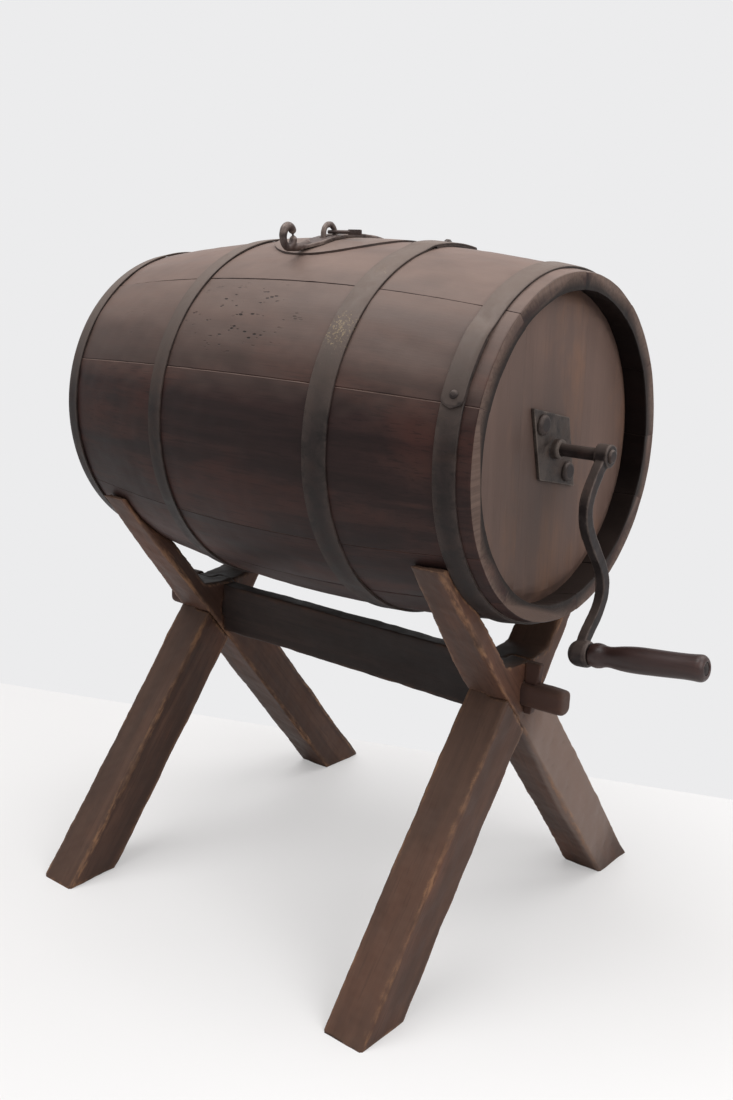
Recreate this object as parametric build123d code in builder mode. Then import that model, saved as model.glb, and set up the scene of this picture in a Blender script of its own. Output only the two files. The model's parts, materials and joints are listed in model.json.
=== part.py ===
from build123d import *
from math import asin, cos, degrees, radians, sin, tan
import os

# Barrel butter churn: a coopered barrel lying in a two-frame stand, with a crank that turns a
# dasher inside it. Millimetres, +Z up, +X along the barrel towards the crank, +Y away from the
# side of the lid's latch. The origin is on the floor under the middle of the whole churn, so the
# stand's middle is at stand_x. Every x below is counted from the stand's middle.
stand_x = -80.0

# Barrel
axis_z = 563.0
barrel_x = 3.0
barrel_half = 288.5
belly_r = 199.6
end_r = 175.0
stave_t = 18.0
stave_edges = [-37.5, 2.5, 37.0, 64.0, 91.0, 115.0, 148.0, 170.0, 220.0, 242.0, 289.5, 322.5]
joint_gap = 0.25
board_gap = 0.06
croze_depth = 5.0
croze_w = 5.6

# Heads, each of three boards, set back in the staves' ends
head_t = 15.0
head_face = 265.0
head_lip_t = 5.0
head_board_y = 58.0

# Hoops, by the x of their edges, where each lap starts and where its rivet is, in degrees from
# the top
hoop_t = 2.2
hoops = {
    "hoop_far_end": (-285.0, -267.0, 150.0, 154.0),
    "hoop_far_quarter": (-119.0, -99.0, 120.0, 124.0),
    "hoop_crank_quarter": (108.0, 137.0, -8.0, 3.0),
    "hoop_crank_end": (254.5, 277.5, -72.0, -68.0),
}
lap_len = 80.0
rivet_r = 4.5

# Lid, a round tapered plug in the top of the barrel
lid_x = -5.0
lid_r = 82.0
lid_gap = 0.8
lid_rise = 2.0
lid_taper = 6.0

# Hasp: a strap over the lid that ends in a curled finger hook
strap_w = 27.0
strap_t = 4.4
strap_edge = 14.0
rod_r = 4.3
curl_y = -97.4
curl_z = 201.3
curl_half_w = 7.8
curl_half_h = 10.7
hinge_angle = 27.0
hinge_pin_r = 3.0
hinge_eye_r = 6.0
hinge_plate_t = 2.4
hinge_r = 208.3
hinge_side_gap = 0.5
hinge_knuckle_w = 8.0
staple_y = -33.0
staple_half = 9.5
staple_wire_r = 3.0
pin_r = 2.0
staple_foot = 184.0
staple_crown = 205.5
pin_y = -30.0
pin_z = 207.2
pin_len = 46.0

# Stand
frame_x = 228.0
leg_w = 52.0
leg_t = 54.0
leg_tilt = 38.0
leg_round = 2.5
cross_z = 297.0
arm_top_z = 462.0
shoulder_z = 340.0
arm_taper = {"crank": (15.0, 0.0), "far": (9.0, 6.0)}
cheek_t = 19.0
crotch_r = 231.0
cradle_gap = 0.4
rail_t = 21.0
rail_h = 62.0
tenon_h = 28.0
tenon_end = 304.0
tenon_side_r = 8.0
tenon_round = 4.0
fit = 0.1
wedge_t = 9.6
wedge_top_w = 19.0
wedge_tip_w = 9.0
wedge_up = 36.0
wedge_down = 22.0

# Crank, shaft and grip
shaft_r = 6.5
run_gap = 0.05
plate_long = 124.0
plate_short = 77.0
plate_t = 4.0
plate_angle = 134.0
boss_r = 10.5
boss_len = 9.0
bolt_circle_r = 37.0
bolt_r = 4.0
bolt_head_r = 10.5
bolt_head_h = 4.5
block_t = 20.0
journal_r = 5.5
crank_x = 329.0
hub_r = 11.5
hub_w = 14.0
arm_w = 11.5
arm_t = 10.0
grip_y = -23.0
grip_z = -198.0
grip_tilt = 7.0
grip_start = 13.0
grip_end = 135.0
spindle_r = 4.5
spindle_head_r = 6.4

# Dasher
dasher_r = 150.0
dasher_arm_w = 40.0
dasher_arm_t = 18.0
dasher_arm_x = 120.0
slat_len = 330.0
slat_w = 56.0
slat_t = 12.0
slat_hole_r = 8.0
peg_r = 4.0

os.makedirs("parts", exist_ok=True)
barrel_at = Vector(stand_x + barrel_x, 0, axis_z)
turn_axis = Axis(barrel_at, (-1, 0, 0))


def save(piece, name):
    piece.part.label = name
    export_step(piece.part, f"parts/{name}.step")


def across(x, y=0.0, z=0.0):
    """A plane square to the barrel, its own x along +Y and its own y along +Z."""
    return Plane((stand_x + x, y, z), x_dir=(0, 1, 0), z_dir=(1, 0, 0))


def radial(angle, x=barrel_x):
    """A plane through the barrel's axis, its own y pointing out at this angle from the top."""
    a = radians(angle)
    return Plane((stand_x + x, 0, axis_z), x_dir=(1, 0, 0), z_dir=(0, -cos(a), sin(a)))


sag = belly_r - end_r
arc_r = (barrel_half ** 2 + sag ** 2) / (2 * sag)


def outer_r(x):
    """Radius of the staves' outside at x from the stand's middle, on the arc through both ends."""
    return belly_r - arc_r + (arc_r ** 2 - (x - barrel_x) ** 2) ** 0.5


def outward(angle, x, lift):
    """A plane on the staves' outside at this angle from the top, raised by lift along its normal."""
    lean = asin((x - barrel_x) / arc_r)
    out = Vector(0, sin(radians(angle)), cos(radians(angle)))
    normal = out * cos(lean) + Vector(sin(lean), 0, 0)
    foot = Vector(stand_x + x, 0, axis_z) + out * outer_r(x) + normal * lift
    return Plane(foot, x_dir=(cos(lean), -out.Y * sin(lean), -out.Z * sin(lean)), z_dir=normal)


# Staves: each is the barrel's wall turned through its own width, with the croze cut for the heads
def wall_outline(grow, inner):
    """Closed outline of the wall between its inside and its outside moved out by grow."""
    with BuildLine() as outline:
        outside = ThreePointArc(
            (-barrel_half, end_r + grow), (0, belly_r + grow), (barrel_half, end_r + grow)
        )
        right = Line(outside @ 1, (barrel_half, inner(barrel_half)))
        inside = ThreePointArc(
            right @ 1, (0, inner(0)), (-barrel_half, inner(barrel_half))
        )
        Line(inside @ 1, outside @ 0)
    return make_face(outline.edges(), mode=Mode.PRIVATE)


def inner_r(x):
    return outer_r(barrel_x + x) - stave_t


def lid_cone(gap, low, high):
    """The lid's tapered plug between two heights over the barrel's axis."""
    grow = tan(radians(lid_taper))
    low_r = lid_r + gap + (low - belly_r) * grow
    high_r = lid_r + gap + (high - belly_r) * grow
    cone = Cone(low_r, high_r, high - low, mode=Mode.PRIVATE)
    return Pos(stand_x + lid_x, 0, axis_z + (low + high) / 2) * cone


head_mid = head_face - head_t / 2
for number in range(len(stave_edges) - 1):
    start = stave_edges[number]
    gap = degrees(joint_gap / 2 / belly_r)
    width = stave_edges[number + 1] - start - 2 * gap
    with BuildPart() as stave:
        with BuildSketch(radial(start + gap)):
            add(wall_outline(0, inner_r))
            for side in (-1, 1):
                with Locations((side * head_mid, inner_r(head_mid) + croze_depth / 2 - 1)):
                    Rectangle(croze_w, croze_depth + 2, mode=Mode.SUBTRACT)
        revolve(axis=turn_axis, revolution_arc=width)
        if start < lid_r / 2 and start + width > -lid_r / 2 and number < 2:
            add(lid_cone(lid_gap, 100, 240), mode=Mode.SUBTRACT)
    save(stave, f"stave_{number + 1:02d}")

# Heads: a round disc with a thin lip that fits the croze, cut into three upright boards
head_r = inner_r(head_mid) + croze_depth - 0.5
lip = 12.0
for side, end in ((1, "crank"), (-1, "far")):
    for low, high, board in (
        (-head_r, -head_board_y, "near"),
        (-head_board_y, head_board_y, "middle"),
        (head_board_y, head_r, "back"),
    ):
        with BuildPart() as head:
            with BuildSketch(radial(0)):
                with BuildLine():
                    Polyline(
                        (side * head_face, 0),
                        (side * head_face, inner_r(head_face) - lip),
                        (side * (head_mid + head_lip_t / 2), inner_r(head_mid) - 0.8),
                        (side * (head_mid + head_lip_t / 2), head_r),
                        (side * (head_mid - head_lip_t / 2), head_r),
                        (side * (head_mid - head_lip_t / 2), inner_r(head_mid) - 0.8),
                        (side * (head_face - head_t), inner_r(head_face) - lip),
                        (side * (head_face - head_t), 0),
                        close=True,
                    )
                make_face()
            revolve(axis=turn_axis)
            with Locations((stand_x + barrel_x + side * head_mid, (low + high) / 2, axis_z)):
                Box(3 * head_t, high - low - board_gap, 2.2 * head_r, mode=Mode.INTERSECT)
            if side > 0 and board == "middle":
                with Locations(across(barrel_x + head_face, 0, axis_z)):
                    Hole(shaft_r + 2)
                    with PolarLocations(bolt_circle_r, 2, start_angle=plate_angle):
                        Hole(bolt_r + run_gap)
        save(head, f"head_{end}_{board}")

# Hoops: a riveted iron band whose inside follows the staves, with its lapped end on top
for name, (x0, x1, lap, rivet) in hoops.items():
    lap_arc = degrees(lap_len / belly_r)
    with BuildPart() as hoop:
        with BuildSketch(radial(lap, 0)):
            Polygon(
                (x0, outer_r(x0) + 0.1), (x1, outer_r(x1) + 0.1),
                (x1, outer_r(x1) + hoop_t), (x0, outer_r(x0) + hoop_t),
                align=None,
            )
        revolve(axis=turn_axis)
        with BuildSketch(radial(lap, 0)):
            Polygon(
                (x0 + 0.6, outer_r(x0) + hoop_t - 0.1), (x1 - 0.6, outer_r(x1) + hoop_t - 0.1),
                (x1 - 0.6, outer_r(x1) + 2 * (hoop_t - fit)), (x0 + 0.6, outer_r(x0) + 2 * (hoop_t - fit)),
                align=None,
            )
        revolve(axis=turn_axis, revolution_arc=lap_arc)
    save(hoop, name)

with BuildPart() as hoop_rivets:
    for x0, x1, lap, rivet in hoops.values():
        with Locations(outward(rivet, (x0 + x1) / 2, 2 * hoop_t - fit)):
            Cone(rivet_r, rivet_r * 0.5, 2.4, align=(Align.CENTER, Align.CENTER, Align.MIN))
save(hoop_rivets, "hoop_rivets")

# Lid: a piece of the barrel's own curve, a little proud, cut to the tapered plug
with BuildPart() as lid:
    with BuildSketch(radial(-30)):
        add(wall_outline(lid_rise, inner_r))
    revolve(axis=turn_axis, revolution_arc=60)
    add(lid_cone(0, 150, 215), mode=Mode.INTERSECT)
    with BuildSketch(Plane.XY.offset(axis_z + staple_foot)):
        with Locations((stand_x + lid_x, staple_y)):
            with GridLocations(0, 2 * staple_half, 1, 2):
                Circle(staple_wire_r + run_gap)
    extrude(amount=30, mode=Mode.SUBTRACT)
save(lid, "lid")

# Hasp: strap, rod and curl are one forging, with the hinge eye rolled at the far end
seat_r = belly_r + lid_rise + fit
over = across(lid_x - strap_w / 2, 0, axis_z)
eye = (hinge_r * sin(radians(hinge_angle)), hinge_r * cos(radians(hinge_angle)))


def polar(r, angle):
    """Point across the barrel at r from its axis and this angle from the top."""
    return (r * sin(radians(angle)), r * cos(radians(angle)))


with BuildPart() as hasp:
    with BuildSketch(over):
        with BuildLine():
            low = ThreePointArc(polar(seat_r, -strap_edge), polar(seat_r, 4), polar(seat_r, 22))
            toe_low = Line(low @ 0, (low @ 0) - 34 * (low % 0))
            toe = Line(toe_low @ 1, (toe_low @ 1) + strap_t * (low % 0).rotate(Axis.Z, 90))
            toe_high = Line(toe @ 1, polar(seat_r + strap_t, -strap_edge))
            high = ThreePointArc(
                toe_high @ 1, polar(seat_r + strap_t, 4), polar(seat_r + strap_t, 22)
            )
            tail = Line(high @ 1, (eye[0], eye[1] + strap_t / 2))
            heel = Line(tail @ 1, (eye[0], eye[1] - strap_t / 2))
            Line(heel @ 1, low @ 1)
        make_face()
        with Locations(eye):
            Circle(hinge_eye_r)
            Circle(hinge_pin_r + run_gap, mode=Mode.SUBTRACT)
    extrude(amount=strap_w)
    with BuildSketch(Plane.XY.offset(axis_z + 150)):
        with Locations((stand_x + lid_x, 0)):
            Polygon(
                (-strap_w / 2, 120), (strap_w / 2, 120), (strap_w / 2, -58), (rod_r, -78),
                (rod_r, -81), (-rod_r, -81), (-rod_r, -78), (-strap_w / 2, -58),
                align=None,
            )
    extrude(amount=90, mode=Mode.INTERSECT)
    with BuildSketch(Plane.XY.offset(axis_z + 150)):
        with Locations((stand_x + lid_x, staple_y)):
            SlotOverall(2 * staple_half + 2 * staple_wire_r + 2, 2 * staple_wire_r + 1.6, rotation=90)
    extrude(amount=90, mode=Mode.SUBTRACT)
    rod_z = curl_z - curl_half_h
    with BuildLine(across(lid_x, 0, axis_z)) as rod:
        FilletPolyline((-66, rod_z + 4.9), (-80, rod_z + 0.3), (curl_y, rod_z), radius=20)
    with BuildSketch(Plane(rod.line @ 0, z_dir=rod.line % 0)):
        Circle(rod_r)
    sweep(path=rod.line)
    with BuildLine(across(lid_x, 0, axis_z)) as curl:
        EllipticalCenterArc((curl_y, curl_z), curl_half_w, curl_half_h, 40, arc_size=305)
    with BuildSketch(Plane(curl.line @ 0, z_dir=curl.line % 0)):
        Circle(rod_r)
    sweep(path=curl.line)
    with Locations(curl.line @ 0, curl.line @ 1):
        Sphere(rod_r)
save(hasp, "hasp")

with BuildPart() as staple:
    with BuildLine(across(lid_x, 0, axis_z)) as wire:
        leg = Line((staple_y - staple_half, staple_foot + 0.3), (staple_y - staple_half, staple_crown))
        crown = ThreePointArc(
            leg @ 1, (staple_y, staple_crown + staple_half), (staple_y + staple_half, staple_crown)
        )
        Line(crown @ 1, (staple_y + staple_half, staple_foot + 0.3))
    with BuildSketch(Plane(wire.line @ 0, z_dir=wire.line % 0)):
        Circle(staple_wire_r)
    sweep(path=wire.line)
save(staple, "lid_staple")

# Pin: round, with its outer end hammered flat to be pulled by
with BuildPart() as pin:
    with BuildSketch(across(lid_x - staple_wire_r - 0.5, pin_y, axis_z + pin_z)):
        Circle(pin_r)
    extrude(amount=pin_len - 14)
    with Locations((stand_x + lid_x - staple_wire_r - 0.5 + pin_len - 8.5, pin_y, axis_z + pin_z)):
        Box(17, 3.0, 5.6)
    fillet(pin.edges().filter_by(Axis.Y), 1.2)
save(pin, "lid_pin")

# Hinge: a plate on the staves with two knuckles either side of the hasp's eye
with BuildPart() as hinge:
    half = strap_w / 2 + hinge_side_gap + hinge_knuckle_w
    with BuildSketch(radial(hinge_angle - 1.6, lid_x)):
        Polygon(
            (-half, belly_r + fit / 2), (half, belly_r + fit / 2),
            (half, belly_r + hinge_plate_t), (-half, belly_r + hinge_plate_t),
            align=None,
        )
    revolve(axis=turn_axis, revolution_arc=11)
    for side in (-1, 1):
        inner = lid_x + side * (strap_w / 2 + hinge_side_gap)
        with BuildSketch(across(min(inner, inner + side * hinge_knuckle_w), 0, axis_z)):
            with Locations(eye):
                Circle(hinge_eye_r)
            Polygon(
                polar(belly_r + 1, hinge_angle - 1.4), polar(hinge_r, hinge_angle - 1.6),
                polar(hinge_r, hinge_angle + 1.6), polar(belly_r + 1, hinge_angle + 5),
                align=None,
            )
            with Locations(eye):
                Circle(hinge_pin_r + run_gap, mode=Mode.SUBTRACT)
        extrude(amount=hinge_knuckle_w)
save(hinge, "hinge_plate")

with BuildPart() as hinge_pin:
    length = strap_w + 2 * (hinge_side_gap + hinge_knuckle_w)
    with BuildSketch(across(lid_x - length / 2 - 0.2, eye[0], axis_z + eye[1])):
        Circle(hinge_pin_r)
    extrude(amount=length + 0.4)
    for side in (-1, 1):
        with Locations(
            across(lid_x + side * (length / 2 + 1.2), eye[0], axis_z + eye[1])
        ):
            Cylinder(hinge_pin_r + 1.6, 2.0)
save(hinge_pin, "hinge_pin")

# Legs: each crosses its fellow in a half lap, is hollowed above to cradle the barrel, and is
# cut flat on the floor. A "near" leg stands on the near side and its upper arm is on the far side.
def leg_outline(side):
    """Side view of one leg; side is -1 for the leg whose foot is on the near side."""
    w = leg_t / 2 / cos(radians(leg_tilt))
    foot = side * cross_z * tan(radians(leg_tilt))
    top = -side * (arm_top_z - cross_z) * tan(radians(leg_tilt))
    return Polygon(
        (foot - w, 0), (foot + w, 0), (top + w, arm_top_z), (top - w, arm_top_z),
        align=None, mode=Mode.PRIVATE,
    )


with BuildPart() as cradle:
    with BuildSketch(radial(0)):
        with BuildLine():
            bow = ThreePointArc(
                (-barrel_half, end_r + cradle_gap), (0, belly_r + cradle_gap),
                (barrel_half, end_r + cradle_gap),
            )
            Polyline(bow @ 1, (barrel_half, 0), (-barrel_half, 0), bow @ 0)
        make_face()
    revolve(axis=turn_axis)

# The arms are thin cheeks above the crossing: this is the room between them
with BuildPart() as crotch:
    with BuildSketch(across(-frame_x - leg_w)):
        with Locations((0, axis_z)):
            Circle(crotch_r)
        lean = tan(radians(leg_tilt))
        apex = cross_z - (cheek_t - leg_t / 2) / -sin(radians(leg_tilt))
        Polygon(
            (0, apex), ((axis_z - apex) * lean, axis_z), (-(axis_z - apex) * lean, axis_z),
            align=None, mode=Mode.INTERSECT,
        )
    extrude(amount=2 * (frame_x + leg_w))

for frame_side, frame in ((1, "crank"), (-1, "far")):
    x_mid = frame_side * frame_x
    for side, foot in ((-1, "near"), (1, "back")):
        with BuildPart() as leg:
            with BuildSketch(across(x_mid - leg_w / 2)):
                add(leg_outline(side))
            extrude(amount=leg_w)
            with BuildSketch(Plane((stand_x + x_mid, 0, 0), x_dir=(1, 0, 0), z_dir=(0, -1, 0))):
                for end, cut in zip((-1, 1), arm_taper[frame]):
                    if cut:
                        Polygon(
                            (end * leg_w, shoulder_z), (end * leg_w / 2, shoulder_z),
                            (end * (leg_w / 2 - cut), arm_top_z),
                            (end * (leg_w / 2 - cut), arm_top_z + 5), (end * leg_w, arm_top_z + 5),
                            align=None,
                        )
            extrude(amount=leg_w + arm_top_z, both=True, mode=Mode.SUBTRACT)
            long_edges = leg.edges().filter_by(lambda e: 0.5 < abs(e.tangent_at(0.5).Z) < 0.9)
            fillet(long_edges, leg_round)
            add(cradle.part, mode=Mode.SUBTRACT)
            add(crotch.part, mode=Mode.SUBTRACT)
            lap_from = x_mid if side < 0 else x_mid - leg_w / 2
            with BuildSketch(across(lap_from)):
                add(leg_outline(-side))
            extrude(amount=leg_w / 2, mode=Mode.SUBTRACT)
            with BuildSketch(across(x_mid - leg_w, 0, cross_z)):
                RectangleRounded(rail_t + 2 * fit, tenon_h + 2 * fit, tenon_side_r + fit)
            extrude(amount=2 * leg_w, mode=Mode.SUBTRACT)
        save(leg, f"leg_{frame}_{foot}")

# Rail: set on edge between the frames, its tenons through both laps and held by tusk wedges
def wedge_outline(gap):
    """Side view of a tusk wedge, its own x out from the leg, with gap all round."""
    low = -wedge_down - gap
    high = wedge_up + gap
    return Polygon(
        (-gap, low), (wedge_tip_w + gap, low), (wedge_top_w + gap, high), (-gap, high),
        align=None, mode=Mode.PRIVATE,
    )


with BuildPart() as rail:
    with BuildSketch(across(-tenon_end, 0, cross_z)):
        RectangleRounded(rail_t, tenon_h, tenon_side_r)
    extrude(amount=2 * tenon_end)
    fillet(rail.faces().sort_by(Axis.X)[0].edges(), tenon_round)
    fillet(rail.faces().sort_by(Axis.X)[-1].edges(), tenon_round)
    with Locations((stand_x, 0, cross_z)):
        Box(2 * (frame_x - leg_w / 2) - 2 * fit, rail_t, rail_h)
    for side in (-1, 1):
        face = Plane(
            (stand_x + side * (frame_x + leg_w / 2 + fit), side * wedge_t / 2, cross_z),
            x_dir=(side, 0, 0), z_dir=(0, -side, 0),
        )
        with BuildSketch(face.offset(-0.2)):
            add(wedge_outline(0.15))
        extrude(amount=wedge_t + 0.4, mode=Mode.SUBTRACT)
save(rail, "rail")

for side, end in ((1, "crank"), (-1, "far")):
    face = Plane(
        (stand_x + side * (frame_x + leg_w / 2 + fit), side * wedge_t / 2, cross_z),
        x_dir=(side, 0, 0), z_dir=(0, -side, 0),
    )
    with BuildPart() as wedge:
        with BuildSketch(face):
            add(wedge_outline(0))
        extrude(amount=wedge_t)
        chamfer(wedge.edges().group_by(Axis.Z)[-1], 1.5)
    save(wedge, f"wedge_{end}")

# Crank end bearing: a lozenge flange with a boss, on two bolts through the head
flange_at = across(barrel_x + head_face + fit, 0, axis_z)
head_inside = barrel_x + head_face - head_t
with BuildPart() as bearing_plate:
    long_tip = Vector(plate_long / 2, 0).rotate(Axis.Z, plate_angle)
    short_tip = Vector(plate_short / 2, 0).rotate(Axis.Z, plate_angle - 85)
    with BuildSketch(flange_at):
        Polygon(long_tip, short_tip, -long_tip, -short_tip, align=None)
    extrude(amount=plate_t)
    with BuildSketch(flange_at.offset(plate_t)):
        Circle(boss_r)
    extrude(amount=boss_len)
    fillet(bearing_plate.faces().sort_by(Axis.X)[-1].edges(), 3)
    with Locations(flange_at.offset(plate_t + boss_len)):
        Hole(shaft_r + run_gap)
    with Locations(flange_at.offset(plate_t)):
        with PolarLocations(bolt_circle_r, 2, start_angle=plate_angle):
            Hole(bolt_r + run_gap)
save(bearing_plate, "bearing_plate")

with BuildPart() as plate_bolts:
    with BuildSketch(flange_at.offset(plate_t + fit)):
        with PolarLocations(bolt_circle_r, 2, start_angle=plate_angle):
            Circle(bolt_head_r)
    extrude(amount=bolt_head_h)
    fillet(plate_bolts.faces().group_by(Axis.X)[-1].edges(), bolt_head_h - 0.5)
    with BuildSketch(flange_at.offset(plate_t + fit)):
        with PolarLocations(bolt_circle_r, 2, start_angle=plate_angle):
            Circle(bolt_r)
    extrude(amount=-(plate_t + head_t + 14))
save(plate_bolts, "plate_bolts")

with BuildPart() as plate_nuts:
    with BuildSketch(across(head_inside - 8 - fit, 0, axis_z)):
        with PolarLocations(bolt_circle_r, 2, start_angle=plate_angle):
            Rectangle(15, 15)
            Circle(bolt_r + run_gap, mode=Mode.SUBTRACT)
    extrude(amount=8)
save(plate_nuts, "plate_nuts")

with BuildPart() as washer:
    with BuildSketch(across(head_inside - 3 - fit, 0, axis_z)):
        Circle(19)
        Circle(shaft_r + run_gap, mode=Mode.SUBTRACT)
    extrude(amount=3)
save(washer, "thrust_washer")

# Far bearing: a block on the inside of the other head, bored part way for the shaft's journal
far_inside = barrel_x - head_face + head_t
with BuildPart() as block:
    with BuildSketch(across(far_inside + fit, 0, axis_z)):
        RectangleRounded(74, 96, 6)
    extrude(amount=block_t)
    with BuildSketch(across(far_inside + fit + 3, 0, axis_z)):
        Circle(journal_r + run_gap)
    extrude(amount=block_t, mode=Mode.SUBTRACT)
save(block, "far_bearing_block")

# Shaft: round through the crank end, square through the dasher, a journal at the far end
with BuildPart() as shaft:
    square_from = far_inside + block_t + 1
    square_to = head_inside - 3 - 2 * fit - 0.4
    with BuildSketch(across(square_from, 0, axis_z)):
        Rectangle(2 * shaft_r, 2 * shaft_r, rotation=45)
    extrude(amount=square_to - square_from)
    with BuildSketch(across(square_to, 0, axis_z)):
        Circle(shaft_r)
    extrude(amount=crank_x + hub_w / 2 + 0.2 - square_to)
    with BuildSketch(across(crank_x + hub_w / 2 + 0.2, 0, axis_z)):
        Circle(shaft_r + 0.8)
    extrude(amount=2.4, taper=30)
    with BuildSketch(across(far_inside + 4, 0, axis_z)):
        Circle(journal_r)
    extrude(amount=square_from - far_inside - 4)
save(shaft, "shaft")


def grip_plane():
    """Plane through the grip's axis, which leans a little; its own x runs out along the grip."""
    a = radians(grip_tilt)
    return Plane(
        (stand_x + crank_x, grip_y, axis_z + grip_z), x_dir=(cos(a), 0, sin(a)), z_dir=(0, -1, 0)
    )


grip_axis = Axis(grip_plane().origin, grip_plane().x_dir)

# Crank: an S-shaped arm between the hub on the shaft and the eye that holds the grip's spindle
with BuildPart() as crank:
    with BuildSketch(across(crank_x - arm_t / 2, 0, axis_z)):
        with BuildLine():
            Spline(
                (0, 0), (-19.7, -22), (-31.6, -50), (-20.1, -80), (4, -112.3), (12.8, -136),
                (6.1, -157.9), (-10, -175), (grip_y, grip_z),
            )
        trace(line_width=arm_w)
    extrude(amount=arm_t)
    with BuildSketch(across(crank_x - hub_w / 2, 0, axis_z)):
        Circle(hub_r)
    extrude(amount=hub_w)
    with BuildSketch(grip_plane()):
        with BuildLine():
            nose = ThreePointArc((-12, 0), (-9, 9.5), (0, 13.5))
            Polyline(nose @ 1, (9, 13.5), (12, 12), (12, 0), nose @ 0)
        make_face()
    revolve(axis=grip_axis)
    with BuildSketch(across(crank_x - hub_w / 2, 0, axis_z)):
        Circle(shaft_r + run_gap)
    extrude(amount=hub_w, mode=Mode.SUBTRACT)
    with BuildSketch(grip_plane()):
        Polygon((-6, 0), (20, 0), (20, spindle_r + run_gap), (-6, spindle_r + run_gap), align=None)
    revolve(axis=grip_axis, mode=Mode.SUBTRACT)
save(crank, "crank")

with BuildPart() as spindle:
    with BuildSketch(grip_plane()):
        Polygon(
            (-5.9, 0), (grip_end - 0.4, 0), (grip_end - 1.2, spindle_head_r),
            (grip_end - 4.2, spindle_head_r), (grip_end - 4.2, spindle_r), (-5.9, spindle_r),
            align=None,
        )
    revolve(axis=grip_axis)
save(spindle, "grip_spindle")

# Grip: turned wood with a bead and a neck, spinning freely on the spindle
with BuildPart() as grip:
    with BuildSketch(grip_plane()):
        with BuildLine():
            bead = ThreePointArc((grip_start, 11), (grip_start + 7, 12.7), (grip_start + 14, 11.2))
            swell = Spline(
                bead @ 1, (grip_start + 20, 10.5), (grip_start + 29, 11.6), (grip_start + 40, 12.8),
                (grip_start + 72, 13.1), (grip_end - 7, 13.3),
            )
            nose = ThreePointArc(swell @ 1, (grip_end - 2, 11.6), (grip_end, 8.4))
            Polyline(
                nose @ 1, (grip_end, spindle_head_r + fit), (grip_end - 4.6, spindle_head_r + fit),
                (grip_end - 4.6, spindle_r + run_gap), (grip_start, spindle_r + run_gap), bead @ 0,
            )
        make_face()
    revolve(axis=grip_axis)
save(grip, "grip")

# Dasher: two crosses of half-lapped arms on the square shaft carry four drilled slats
def spoke(angle, x=barrel_x):
    """Plane whose own x runs out along a dasher arm and whose own y runs along the shaft."""
    a = radians(angle)
    out = (0, sin(a), cos(a))
    return Plane((stand_x + x, 0, axis_z), x_dir=out, z_dir=(0, -cos(a), sin(a)))


for x_side, end in ((-1, "far"), (1, "crank")):
    x_mid = barrel_x + x_side * dasher_arm_x
    for angle, half_side, name in ((45, -1, "rising"), (135, 1, "falling")):
        with BuildPart() as arm:
            with BuildSketch(across(x_mid - dasher_arm_t / 2, 0, axis_z)):
                Rectangle(2 * dasher_r, dasher_arm_w, rotation=angle)
            extrude(amount=dasher_arm_t)
            with BuildSketch(across(x_mid if half_side < 0 else x_mid - dasher_arm_t / 2, 0, axis_z)):
                Rectangle(dasher_arm_w, dasher_arm_w, rotation=angle)
            extrude(amount=dasher_arm_t / 2, mode=Mode.SUBTRACT)
            with BuildSketch(across(x_mid - dasher_arm_t / 2, 0, axis_z)):
                Rectangle(2 * shaft_r + fit, 2 * shaft_r + fit, rotation=angle)
                with PolarLocations(dasher_r - slat_w / 2 + 1, 2, start_angle=angle):
                    Rectangle(slat_w + 2, slat_t + fit)
            extrude(amount=dasher_arm_t, mode=Mode.SUBTRACT)
            with Locations(spoke(90 - angle, x_mid)):
                with GridLocations(2 * dasher_r - slat_w, 0, 2, 1):
                    Hole(peg_r + run_gap, depth=dasher_arm_w)
        save(arm, f"dasher_arm_{end}_{name}")

for number in range(4):
    angle = 45 + 90 * number
    with BuildPart() as slat:
        with BuildSketch(spoke(angle)):
            with Locations((dasher_r - slat_w / 2, 0)):
                RectangleRounded(slat_w, slat_len, 4)
                with GridLocations(0, 2 * dasher_arm_x, 1, 2):
                    Circle(peg_r + run_gap, mode=Mode.SUBTRACT)
                with GridLocations(0, 42, 1, 5):
                    Circle(slat_hole_r, mode=Mode.SUBTRACT)
        extrude(amount=slat_t / 2, both=True)
    save(slat, f"dasher_slat_{number + 1}")

with BuildPart() as pegs:
    for number in range(4):
        for x_side in (-1, 1):
            with Locations(spoke(45 + 90 * number, barrel_x + x_side * dasher_arm_x)):
                with Locations((dasher_r - slat_w / 2, 0)):
                    Cylinder(peg_r, dasher_arm_w + 4)
save(pegs, "dasher_pegs")
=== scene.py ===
"""Barrel butter churn: the looks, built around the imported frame. Metres, +Z up."""
import json
from math import atan2, cos, degrees, pi, radians, sin, tan

import bmesh
import bpy
import numpy as np
from mathutils import Matrix, Vector

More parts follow.
